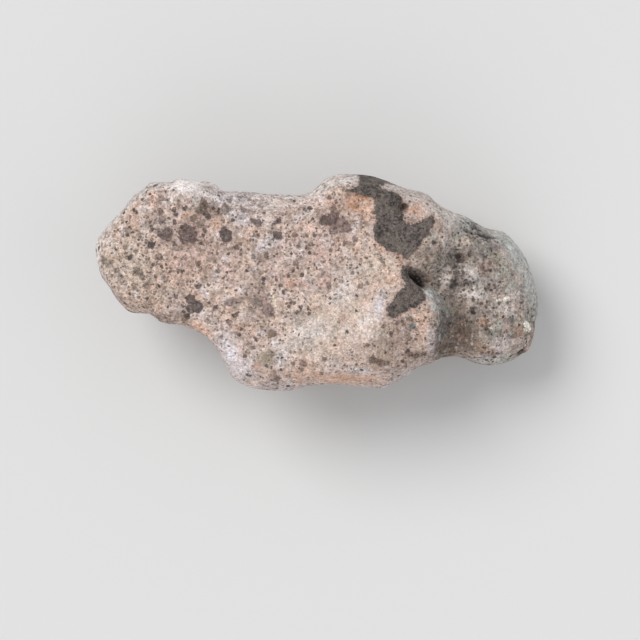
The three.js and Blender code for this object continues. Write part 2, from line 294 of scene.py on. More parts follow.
def make_mesh(name, points, faces_of_four, faces_of_three):
    """A mesh from an array of points and two arrays of faces."""
    mesh = bpy.data.meshes.new(name)
    corners = np.concatenate([faces_of_four.ravel(), faces_of_three.ravel()])
    starts = np.concatenate([
        4 * np.arange(len(faces_of_four)),
        4 * len(faces_of_four) + 3 * np.arange(len(faces_of_three))])
    mesh.vertices.add(len(points))
    mesh.loops.add(len(corners))
    mesh.polygons.add(len(starts))
    mesh.vertices.foreach_set("co", points.astype(np.float32).ravel())
    mesh.loops.foreach_set("vertex_index", corners.astype(np.int32))
    mesh.polygons.foreach_set("loop_start", starts.astype(np.int32))
    mesh.update(calc_edges=True)
    mesh.shade_smooth()
    return mesh


def add_object(name, data):
    """A new object of that mesh, light or camera, in the scene."""
    made = bpy.data.objects.new(name, data)
    scene.collection.objects.link(made)
    return made


MM = 0.001
scene = bpy.context.scene
mesh = make_mesh("meteorite", surface * MM, quads, np.concatenate([left_fan, right_fan]))
normals = np.empty(len(surface) * 3, np.float32)
mesh.vertex_normals.foreach_get("vector", normals)
normals = normals.reshape(-1, 3)
meteorite = add_object("meteorite", mesh)


# ---- Broken surface ----
# Chondrite breaks with a sandy, hackly surface. It is finest on the broad face and coarser on the lobe, the
# sides and underneath, where grains have fallen out and left pits. The stone rests on one worn flat.


def gradient_noise(points, size, seed):
    """Each corner of a cubic lattice has a random slope; the value is the smooth blend of the eight nearest
    slopes, each taken along the way from its corner. It runs from about -1 to 1."""
    random = np.random.default_rng(seed)
    slopes = random.normal(size=(256, 3))
    slopes /= np.linalg.norm(slopes, axis=1, keepdims=True)
    order = random.permutation(256)
    cell = np.floor(points / size).astype(int)
    within = points / size - cell
    fade = within**3 * (within * (within * 6 - 15) + 10)
    total = np.zeros(len(points))
    for corner in np.ndindex(2, 2, 2):
        i, j, k = ((cell + corner) % 256).T
        slope = slopes[order[(order[(order[i] + j) % 256] + k) % 256]]
        weight = np.prod(np.where(np.array(corner) == 1, fade, 1 - fade), axis=1)
        total += weight * np.sum(slope * (within - corner), axis=1)
    return 1.7 * total


def nearest_depth(points, centres, radii, seed):
    """For each point, the most that any radius passes its distance from the centre, and which centre that
    is. Each shape is an ellipsoid, turned and a little stretched at random, and noise makes its outline
    uneven."""
    random = np.random.default_rng(seed)
    uneven = 1 + 0.24 * gradient_noise(points, 0.9, seed) + 0.16 * gradient_noise(points, 0.45, seed + 1)
    best = np.full(len(points), -9.0)
    which = np.zeros(len(points), int)
    for number, (centre, radius) in enumerate(zip(centres, radii)):
        turn, stretch = random.uniform(0, np.pi), random.uniform(1, 1.15)
        dx, dy, dz = (points - centre).T
        u = (dx * np.cos(turn) + dy * np.sin(turn)) * stretch
        v = (dy * np.cos(turn) - dx * np.sin(turn)) / stretch
        past = radius - np.sqrt(u * u + v * v + dz * dz) * uneven
        better = past > best
        best[better] = past[better]
        which[better] = number
    return best, which


def bumps(size, seed):
    """Gradient noise over the stone, with features of that size in mm."""
    return gradient_noise(surface, size, seed)


# Shares from 0 to 1 at each point: how far it faces up, whether it is on the lobe, how much it has crumbled
# there, and how coarse the break is.
x, y, z = surface.T
facing_up = smoothstep(-0.5, 0.1, normals[:, 2])
on_lobe = smoothstep(0, 3, x - np.interp(y, WALL_Y, WALL_EDGE))
crumbled = on_lobe * smoothstep(0.3, 0.8, normals[:, 2]) * mix(0.3, 1.1, swell(x, y, (25.5, 2), (7, 8), 0))
rough = 0.45 * (1 - facing_up) + crumbled

# The places of the marks below are on a plan of the stone drawn in perspective, from a point above the rim,
# so what stands higher lies a little further out on it.
PLAN_MIDDLE = np.array([0.4, -6.7])
PLAN_HEIGHT = 20
PLAN_DISTANCE = 640
outward = PLAN_DISTANCE / (PLAN_DISTANCE + PLAN_HEIGHT - z)
plan_x, plan_y = (PLAN_MIDDLE + (surface[:, :2] - PLAN_MIDDLE) * outward[:, None]).T


def crack(size, width, seed):
    """1 along the winding lines where the noise crosses 0, falling to 0 where it passes that width."""
    return 1 - smoothstep(0, width, np.abs(bumps(size, seed)))


# The steep stretch of the wall is hackly, and the lobe's upper edge has flaked along short cracks.
wall_edge = np.interp(y, WALL_Y, WALL_EDGE)
wall_width = np.interp(y, WALL_Y, WALL_WIDTH)
on_wall = np.exp(-(((x - wall_edge - 0.5 * wall_width) / (0.8 * wall_width)) ** 2)) * smoothstep(1, -3, y)
flaked = swell(plan_x, plan_y, (28.2, 9.4), (5, 1.5), -24) * facing_up
crumbs = bumps(2.6, 18) + 0.6 * bumps(1.1, 19)
crumbs = smoothstep(0.1, 0.9, crumbs + 0.4 * bumps(0.55, 23))
relief = (
    (0.04 + 0.12 * rough + 0.06 * crumbled) * bumps(1.3, 13)
    + (0.04 + 0.08 * rough + 0.04 * crumbled) * bumps(0.65, 14)
    + 0.34 * on_wall * bumps(0.9, 20)
    - (0.04 + 0.32 * rough - 0.08 * crumbled) * crack(4.6, 0.26, 15)
    + 0.30 * crumbled * bumps(5.0, 24)
    - 0.36 * crumbled * crumbs
    - 0.45 * flaked * crack(2.0, 0.22, 25)
    - (0.03 + 0.14 * rough) * crack(2.3, 0.22, 16)
)

# Pits where single grains have fallen out.
PITS = 220
random = np.random.default_rng(5)
likely = 0.05 + rough - 0.85 * crumbled
pit_centres = surface[random.choice(len(surface), PITS, replace=False, p=likely / likely.sum())]
pit_radii = random.uniform(0.35, 0.9, PITS) ** 1.4
pit_depth, _ = nearest_depth(surface, pit_centres, pit_radii, seed=21)
relief -= 0.4 * smoothstep(0, 0.6, pit_depth) * np.minimum(1, 0.3 + rough)

# Places where more has crumbled out, and lumps left standing between them. Each row: centre on the plan,
# half-widths, turn in degrees, height.
HOLLOWS_AND_LUMPS = [
    ((18.0, 0.5), (1.5, 0.42), -42, -1.6),
    ((26.9, 9.8), (1.0, 0.35), -40, -0.3),
    ((18.8, 1.4), (1.4, 0.6), -38, -0.15),
    ((16.8, 2.2), (0.5, 0.8), 20, -0.5),
    ((15.3, 13.6), (0.5, 0.8), -12, -0.5),
    ((25.2, 4.6), (1.0, 0.5), 10, -0.3),
    ((24.4, -0.6), (0.8, 1.0), 10, -0.2),
    ((24.9, 2.9), (1.2, 0.3), 10, -0.2),
    ((28.7, 9.9), (1.0, 0.35), -22, -0.25),
    ((36.6, -12.6), (0.8, 0.4), 30, -0.5),
    ((26.9, 9.4), (0.8, 0.4), -15, -0.4),
    ((29.1, 9.2), (1.1, 0.35), -60, -0.45),
    ((30.6, 8.4), (1.4, 0.28), -8, -0.6),
    ((30.6, 7.7), (0.9, 0.25), -14, -0.4),
    ((27.5, 5.1), (0.3, 0.9), -10, -0.4),
    ((32.4, 3.4), (0.4, 1.3), -5, -0.4),
    ((31.2, 2.2), (0.3, 0.8), 10, -0.35),
    ((29.0, 6.3), (0.8, 0.4), 0, -0.3),
    ((29.9, 5.2), (0.7, 0.4), -30, -0.3),
    ((28.0, -5.2), (0.5, 0.9), -10, -0.35),
    ((38.9, -7.3), (0.3, 0.9), -10, -0.4),
    ((36.8, -12.7), (0.9, 0.4), 20, -0.4),
    ((22.8, 0.9), (1.1, 1.5), 0, 0.4),
    ((27.8, 1.1), (2.2, 1.1), 0, 0.4),
    ((28.4, -1.9), (1.9, 1.4), 0, 0.4),
    ((26.9, 7.2), (0.5, 0.8), 0, 0.3),
    ((33.8, -3.0), (1.5, 0.8), 0, 0.3),
    ((37.7, -8.0), (0.9, 0.9), 0, 0.3),
]
for centre, across, turn, height in HOLLOWS_AND_LUMPS:
    relief += height * swell(plan_x, plan_y, centre, across, turn) * facing_up

# How deep each point lies in the finer relief; the colour is darkened there later as painted shade.
# The broader relief comes after it.
painted_hollow_shade = smoothstep(0.06, 0.70, -relief)
below_rim = 1 - facing_up
relief += (0.20 + 0.45 * below_rim) * bumps(8.0, 11)
relief += (0.10 + 0.30 * rough) * bumps(3.2, 12)
relief -= 0.45 * below_rim * crack(11.0, 0.16, 17)
relief += 0.25 * smoothstep(29, 36, x) * facing_up


# ---- Chondrules and clasts ----
# Round chondrules and broken clasts of darker rock, set in the pale matrix and cut through by the break.
# Most stand a little proud of it and the dark ones lie a little below. Each has a narrow groove round it.

# Each kind's colour, how fully it hides the matrix, and its share of the clasts below the rim.
CLAST_KINDS = {
    "dark": ((86, 75, 73), 0.92, 0.24),
    "purple": ((130, 110, 106), 0.82, 0.16),
    "brown": ((112, 92, 80), 0.8, 0.16),
    "grey": ((126, 115, 109), 0.78, 0.22),
    "green": ((116, 102, 91), 0.75, 0.15),
    "blue": ((112, 113, 112), 0.85, 0.05),
    "cream": ((244, 236, 222), 0.9, 0.02),
    "plum": ((99, 83, 80), 0.85, 0),
}

# Each row: x and y on the plan, and the radius, in millimetres.
CLASTS = {
    "purple": [
        (-28.8, 9.4, 0.5), (-27.9, 11.3, 0.65), (-28.5, 4.5, 0.6), (-28.2, 15.2, 0.6), (-9.0, -5.1, 1.15),
        (-15.9, -3.5, 0.75), (-15.9, -7.1, 0.55), (-17.4, -9.7, 0.45), (6.6, 7.9, 0.5), (4.2, 10.3, 1.3),
        (3.0, 9.6, 0.9), (5.3, 9.6, 0.7), (14.4, -7.2, 0.45), (-2.6, -14.6, 0.6),
    ],
    "brown": [
        (-22.2, 11.6, 0.7), (-20.7, 14.4, 0.75), (-28.4, 12.7, 0.6), (-14.6, 6.4, 0.55), (-8.2, -9.2, 0.75),
        (-7.3, -17.2, 0.55), (-4.4, -14.6, 0.4), (-2.9, -15.7, 0.4), (1.2, -13.7, 0.45), (0.7, -16.4, 0.4),
        (2.8, 13.5, 0.55), (2.2, 15.4, 0.4), (5.0, 7.2, 0.4), (3.7, 7.8, 0.35), (11.2, -14.1, 0.6),
        (12.3, -14.5, 0.6), (9.8, -13.8, 0.7), (12.0, -7.8, 0.45), (9.0, -11.2, 0.4), (17.9, -13.2, 0.6),
        (16.6, -12.8, 0.5), (19.0, -12.8, 0.5), (15.1, -14.2, 0.4), (16.5, -6.6, 0.5), (15.6, -7.6, 0.35),
        (-4.2, 8.5, 0.5), (-9.1, 4.7, 0.5), (-3.4, 6.5, 0.45), (-2.0, 6.2, 0.4), (-5.2, 1.4, 0.34),
        (-4.4, 2.0, 0.4), (-3.0, 1.5, 0.36), (-3.9, 3.5, 0.45), (7.8, -0.8, 0.5), (2.1, -0.6, 0.5),
        (0.5, -1.1, 0.25), (-23.8, -6.5, 0.6), (30.4, -7.0, 0.4), (30.3, -8.2, 0.5), (29.4, -12.7, 0.4),
    ],
    "dark": [
        (-19.6, 11.9, 0.4), (-20.4, 12.4, 0.3), (-17.9, 12.7, 0.4),
        (-16.6, 8.5, 1.25), (-16.7, 9.4, 0.7), (-30.0, 6.8, 0.7), (-22.7, -3.1, 0.9), (-21.6, -4.4, 1.15),
        (-22.7, -4.9, 0.85), (-23.7, -6.1, 0.65), (-7.1, 8.6, 0.8), (-7.0, 11.2, 0.55), (-7.7, 10.7, 0.35),
        (-9.6, 0.5, 0.4), (-9.7, -0.1, 0.3), (-21.6, -0.6, 0.5), (-33.9, 4.5, 0.42), (-39.4, 6.3, 0.42),
        (-25.9, 12.9, 0.4), (-25.6, 12.3, 0.35), (-25.9, 10.9, 0.4), (-29.8, 10.2, 0.3), (-29.7, 9.6, 0.3),
        (-24.0, 13.3, 0.45), (-32.8, 13.0, 0.25), (-32.6, 12.4, 0.25), (-15.3, 11.3, 0.35),
        (-18.3, -4.6, 0.45),
        (-12.8, -16.6, 0.4), (-12.2, -16.9, 0.3), (-1.6, 13.5, 0.4), (-2.2, 13.4, 0.3), (-20.8, 7.1, 0.36),
        (-20.7, 8.6, 0.3), (-20.3, 9.4, 0.3), (-19.8, 11.6, 0.3), (-17.9, 12.8, 0.3), (7.5, 3.3, 0.3),
        (7.0, -2.4, 0.3), (7.0, -5.1, 0.28), (-33.2, 9.1, 0.35), (-34.3, 8.6, 0.3), (-6.8, -0.6, 0.35),
        (-6.2, -1.6, 0.36), (-3.0, -4.6, 0.35), (-1.8, -4.6, 0.3), (-3.8, -5.3, 0.3), (-1.6, -5.6, 0.28),
        (-9.3, -8.6, 0.25), (-11.0, -10.3, 0.28), (-14.1, -9.4, 0.35), (-15.1, -6.0, 0.35),
        (-14.6, -5.8, 0.3),
        (5.4, -8.9, 0.35), (3.1, -11.2, 0.3), (13.4, -9.2, 0.4), (9.4, -17.8, 0.3), (14.7, -17.0, 0.3),
        (-5.4, -18.6, 0.35), (16.4, -12.3, 0.4), (17.0, -13.0, 0.3), (19.3, -12.9, 0.4), (12.7, -14.4, 0.35),
        (20.9, 7.1, 0.45), (-4.3, 14.7, 0.3), (-1.0, 11.4, 0.3), (-25.5, -2.6, 0.35), (-24.2, -4.3, 0.3),
        (-36.3, 5.9, 0.3), (-35.1, 3.0, 0.3), (-29.5, 3.2, 0.35), (-28.6, -0.7, 0.3), (-29.1, 1.1, 0.35),
        (-30.8, -3.0, 0.3), (-29.3, 17.6, 0.5), (27.9, -5.4, 0.5), (28.0, -4.7, 0.4), (36.8, -12.5, 0.45),
        (36.3, -12.7, 0.35), (31.9, -13.3, 0.35), (32.4, -12.7, 0.3), (39.0, -7.2, 0.35), (39.1, -7.9, 0.3),
        (24.5, 8.6, 0.3), (31.2, 2.3, 0.28), (36.4, -3.6, 0.3), (28.0, -3.1, 0.25), (27.4, 4.9, 0.3),
    ],
    "grey": [
        (-16.6, 13.2, 0.8), (-15.9, 14.8, 0.55), (-16.9, 14.0, 0.4), (-13.3, 12.9, 0.5), (-13.9, 15.3, 0.4),
        (-26.2, 18.1, 0.5), (-10.4, 13.9, 0.4), (-17.9, 2.0, 0.45), (-34.6, 9.6, 0.4), (-27.6, 0.7, 0.6),
        (-10.9, -3.6, 0.9), (-11.6, -5.0, 0.5), (11.3, 4.2, 0.45), (9.0, 0.0, 0.4), (6.3, 1.7, 0.35),
        (4.6, 4.2, 0.35), (2.5, 5.8, 0.4), (1.0, 1.8, 0.35), (0.9, 3.7, 0.3), (-35.6, 0.9, 0.55),
        (-11.5, 4.6, 0.5), (-12.5, -12.4, 0.4), (-12.9, -12.9, 0.3), (-11.9, -11.8, 0.4), (-19.7, -7.0, 0.5),
        (35.0, 1.6, 0.4), (25.0, 1.8, 0.4),
    ],
    "green": [
        (-21.1, 10.4, 0.6), (-21.6, 3.2, 0.5), (-38.4, 4.0, 0.7), (-37.2, 3.6, 0.5), (-38.0, 3.2, 0.4),
        (-32.4, 2.0, 0.75), (-31.6, 1.0, 0.6), (-31.1, -0.6, 0.55), (-33.1, -0.4, 0.4), (-33.0, -1.0, 0.35),
        (-36.2, 2.2, 0.6), (-32.8, 5.7, 0.4), (-20.6, 13.3, 0.7), (-21.6, 13.0, 0.5),
    ],
    "blue": [(17.1, -7.9, 0.65), (34.9, -6.7, 0.5)],
    "cream": [
        (33.6, -2.8, 0.4), (33.7, -3.2, 0.35), (32.3, -3.2, 0.35), (37.6, -7.8, 0.95), (37.7, -8.4, 0.7),
        (37.2, -7.3, 0.5), (26.9, 7.2, 0.5),
    ],
    "plum": [
        (-23.3, 8.8, 1.75), (-27.2, 8.8, 1.2), (-10.9, 10.9, 0.75), (-11.5, 11.1, 0.5), (1.3, 11.2, 1.0),
        (2.6, 11.4, 1.3), (-28.3, 8.6, 0.5),
    ],
}

# Each row's clast is centred on the point of the upper side that the plan shows nearest to it.
names = list(CLAST_KINDS)
broad_face = np.flatnonzero(normals[:, 2] > 0.25)
seen = np.array([row for name in CLASTS for row in CLASTS[name]])
seen_names = np.array([names.index(name) for name in CLASTS for _ in CLASTS[name]])
gaps = np.hypot(plan_x[broad_face] - seen[:, :1], plan_y[broad_face] - seen[:, 1:2])
seen_centres = surface[broad_face[gaps.argmin(axis=1)]]

# More are scattered at random below the rim, most of them small.
OTHER_CLASTS = 300
random = np.random.default_rng(8)
rest = 1 - smoothstep(-0.2, 0.3, normals[:, 2])
other_centres = surface[random.choice(len(surface), OTHER_CLASTS, replace=False, p=rest / rest.sum())]
other_radii = 0.3 + 1.5 * random.uniform(size=OTHER_CLASTS) ** 4
other_names = random.choice(len(names), OTHER_CLASTS, p=[share for _, _, share in CLAST_KINDS.values()])

clast_centres = np.concatenate([seen_centres, other_centres])
clast_radii = np.concatenate([seen[:, 2], other_radii])
clast_names = np.concatenate([seen_names, other_names])
clast_edge, which_clast = nearest_depth(surface, clast_centres, clast_radii, seed=31)
rise = np.where(clast_names[which_clast] == names.index("dark"), -0.05, 0.05)
relief += rise * smoothstep(0, 0.5, clast_edge) - 0.03 * np.exp(-((clast_edge / 0.18) ** 2))


# ---- Fusion crust ----
# The skin that melted in flight: a dull charcoal-grey layer a fifth of a millimetre thick. Two patches of it
# are left on the broad face, and the larger one runs over the edge and down the back.

CRUST = [
    (4.6, 16.4), (7.3, 17.4), (7.4, 18.4), (7.9, 21.5), (11.2, 21.5), (11.1, 18.3), (11.2, 17.2),
    (12.3, 16.5), (13.5, 16.3), (14.7, 15.9), (15.4, 15.2), (14.8, 13.8), (15.5, 12.4), (15.7, 10.8),
    (17.0, 10.4), (18.6, 10.9), (20.2, 11.9), (21.0, 12.4), (21.0, 11.0), (20.7, 9.8), (19.3, 8.1),
    (18.4, 6.6), (17.2, 5.5), (16.5, 4.2), (15.6, 4.3), (15.1, 5.1), (13.2, 5.5), (11.6, 6.7), (10.2, 7.8),
    (9.9, 9.9), (10.7, 11.4), (10.2, 12.6), (10.3, 15.2), (8.4, 15.5), (7.0, 16.0),
]
CRUST_TONGUE = [
    (15.2, 3.0), (16.4, 3.0), (16.4, 0.9), (17.5, 0.1), (18.6, -1.0), (19.3, -2.0), (19.6, -3.0),
    (18.7, -3.9), (15.8, -5.2), (13.6, -6.5), (12.6, -6.0), (12.2, -4.8), (13.2, -3.3), (14.0, -2.0),
    (15.3, -1.0), (15.6, -0.1), (14.9, 1.5), (14.9, 2.3),
]

# The back's outline is in x and z.
CRUST_BACK = [
    (7.6, 24.0), (7.4, 20.5), (5.2, 18.2), (4.6, 15.6), (2.2, 14.4), (3.4, 11.2), (6.8, 11.8), (8.4, 8.4),
    (12.6, 8.8), (13.6, 12.6), (16.8, 13.6), (15.0, 17.0), (12.8, 18.6), (11.6, 24.0),
]


def inside_outline(x, y, outline):
    """The distance from the nearest side of a closed outline, positive inside and negative outside. A point
    is inside where a line from it to the right crosses the outline an odd number of times."""
    start = np.array(outline, float)
    stop = np.roll(start, -1, axis=0)
    nearest = np.full(x.shape, np.inf)
    inside = np.zeros(x.shape, bool)
    for (ax, ay), (bx, by) in zip(start, stop):
        along_side = (x - ax) * (bx - ax) + (y - ay) * (by - ay)
        share = np.clip(along_side / ((bx - ax) ** 2 + (by - ay) ** 2), 0, 1)
        nearest = np.minimum(nearest, np.hypot(x - mix(ax, bx, share), y - mix(ay, by, share)))
        crossing = (ay > y) != (by > y)
        inside ^= crossing & (x < ax + (y - ay) / np.where(by == ay, 1, by - ay) * (bx - ax))
    return np.where(inside, nearest, -nearest)


# The outlines reach right through the stone, so each is kept to its own side by a lowest z or y.
LOWEST_ON_FACE = 15
FOREMOST_ON_BACK = 8
CRUST_THICKNESS = 0.18
on_face = np.maximum(inside_outline(plan_x, plan_y, CRUST), inside_outline(plan_x, plan_y, CRUST_TONGUE))
on_face = np.minimum(on_face, z - LOWEST_ON_FACE)
on_back = np.minimum(inside_outline(x, z, CRUST_BACK) + 0.5 * bumps(2.5, 42), y - FOREMOST_ON_BACK)
crust_edge = np.maximum(on_face, on_back) + 0.10 * bumps(0.9, 41)
crusted = smoothstep(-0.1, 0.25, crust_edge)
relief = mix(relief, CRUST_THICKNESS + 0.5 * relief, crusted)


# ---- Shades of the matrix ----
# The matrix is a cream-pink, sandy mass of small silicate grains. Iron has rusted in it here and there and
# stained it orange or pink, and it is bleached nearly white in patches. Some marks below are painted light
# and shade: pale rims and edges where light falls, and dark patches in pits, cracks and hollows where shade
# falls.

MATRIX = (210, 184, 173)

TINTS = {
    "white": (240, 231, 227),
    "pale": (224, 212, 205),
    "lilac": (216, 207, 209),
    "cream": (215, 197, 179),
    "peach": (222, 183, 160),
    "rust": (186, 138, 108),
    "pink": (196, 163, 151),
    "dusk": (168, 142, 132),
    "grey": (168, 158, 151),
    "olive": (152, 140, 122),
    "umber": (112, 93, 80),
    # painted shadow, for pits, crevices and grooves
    "painted_shadow": (44, 34, 28),
    # painted light, for rims and the wall
    "painted_light_grey": (200, 203, 199),
    "slate": (108, 105, 102),
}

